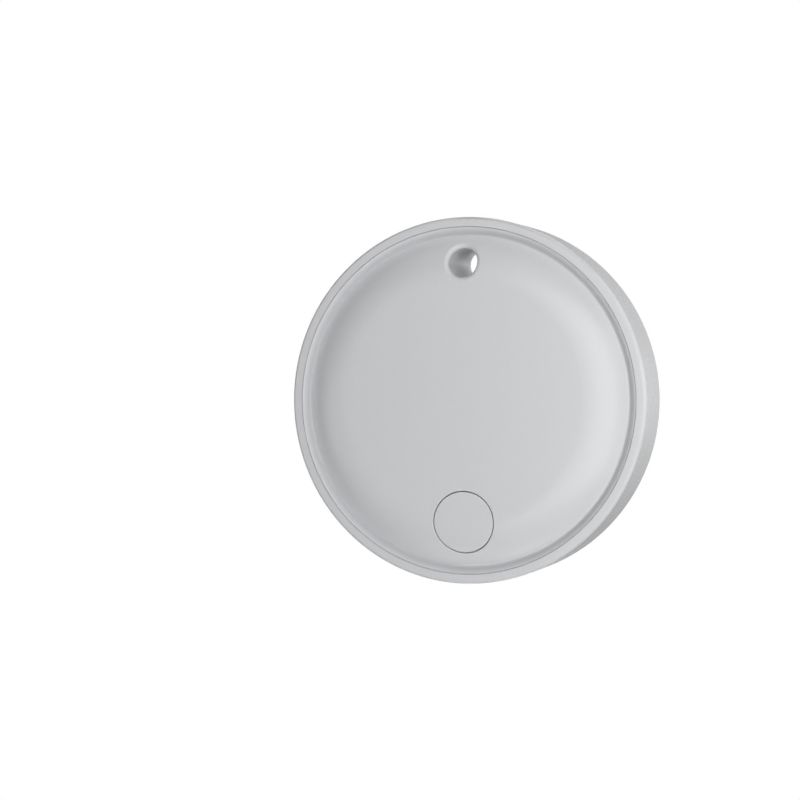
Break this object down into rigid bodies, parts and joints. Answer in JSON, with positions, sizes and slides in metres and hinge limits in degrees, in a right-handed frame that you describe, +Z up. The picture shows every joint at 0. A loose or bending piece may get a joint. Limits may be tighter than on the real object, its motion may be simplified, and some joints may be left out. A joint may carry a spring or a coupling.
{
  "type": "bluetooth tracker tag",
  "caption": "Round domed tracker tag with a keyring hole, a flush front button, a sealed screw-down rear cover and a swappable coin cell.",
  "frame": {"origin": "middle of the keyring hole, which the tag hangs from", "axes": "+Z up, from the button to the keyring hole; the front face looks along -Y; +X to the right seen from the front"},
  "size_m": [0.036, 0.0086, 0.036],
  "materials": {
    "shell": "satin white moulded plastic",
    "screw_steel": "machined steel",
    "brass": "turned brass",
    "seal_rubber": "matt black rubber",
    "foam": "closed-cell foam",
    "cell_steel": "nickel-plated steel",
    "cell_plastic": "moulded polypropylene",
    "frame_plastic": "matt moulded plastic",
    "board": "solder-masked glass laminate",
    "chip_plastic": "moulded epoxy",
    "crystal_can": "nickel-plated lid",
    "ceramic_white": "glazed ceramic",
    "capacitor_ceramic": "fired ceramic",
    "gold_contact": "gold-plated spring sheet",
    "piezo_ceramic": "silvered ceramic",
    "adhesive": "double-sided tape",
    "switch_plastic": "moulded nylon"
  },
  "bodies": {
    "root": {"side_ring": "shell", "front_cover": "shell", "board_screws": "screw_steel", "threaded_insert": "brass", "inner_frame": "frame_plastic", "circuit_board": "board", "battery_positive_contact": "gold_contact", "battery_negative_contact": "gold_contact", "buzzer_springs": "gold_contact", "bluetooth_chip": "chip_plastic", "buzzer_driver_chip": "chip_plastic", "main_crystal": "crystal_can", "watch_crystal": "crystal_can", "chip_antenna": "ceramic_white", "boost_inductor": "chip_plastic", "storage_capacitor": "capacitor_ceramic", "board_capacitors": "capacitor_ceramic", "board_resistors": "chip_plastic", "buzzer_plate": "brass", "buzzer_ceramic": "piezo_ceramic", "buzzer_adhesive_ring": "adhesive", "switch_body": "switch_plastic", "switch_cover": "crystal_can", "switch_terminals": "crystal_can", "switch_dome": "crystal_can"},
    "button": {"button_cap": "shell"},
    "plunger": {"switch_plunger": "switch_plastic"},
    "back": {"rear_cover": "shell", "cover_gasket": "seal_rubber", "battery_pad": "foam", "keyring_hole_seal": "seal_rubber"},
    "screw_carrier": {"screw_seal_ring": "seal_rubber"},
    "screw": {"cover_screw": "screw_steel"},
    "cell": {"cell_can": "cell_steel", "cell_cap": "cell_steel", "cell_gasket": "cell_plastic"}
  },
  "joints": [
    {"name": "button_press", "type": "slide", "parent": "root", "child": "button", "axis": [0, 1, 0], "range_m": [0, 0.00025], "stiffness_N_per_m": 4000, "springref_m": -0.00015},
    {"name": "plunger_press", "type": "slide", "parent": "root", "child": "plunger", "axis": [0, 1, 0], "range_m": [0, 0.00025], "deforming": ["switch_dome"]},
    {"name": "rear_cover_lift", "type": "slide", "parent": "root", "child": "back", "axis": [0, 1, 0], "range_m": [0, 0.014]},
    {"name": "screw_travel", "type": "slide", "parent": "back", "child": "screw_carrier", "axis": [0, 1, 0], "range_m": [0, 0.0023]},
    {"name": "screw_turn", "type": "hinge", "parent": "screw_carrier", "child": "screw", "pos_m": [0.0082, 0.00305, -0.00315], "axis": [0, 1, 0], "range_deg": [0, 2070]},
    {"name": "cell_removal", "type": "slide", "parent": "root", "child": "cell", "axis": [0, 1, 0], "range_m": [0, 0.007]}
  ],
  "couplings": [
    {"joint": "plunger_press", "follows": "button_press", "ratio": 1},
    {"joint": "screw_turn", "follows": "screw_travel", "rad_per_m": 15708},
    {"joint": "cell_removal", "follows": "rear_cover_lift", "ratio": 0.5}
  ]
}
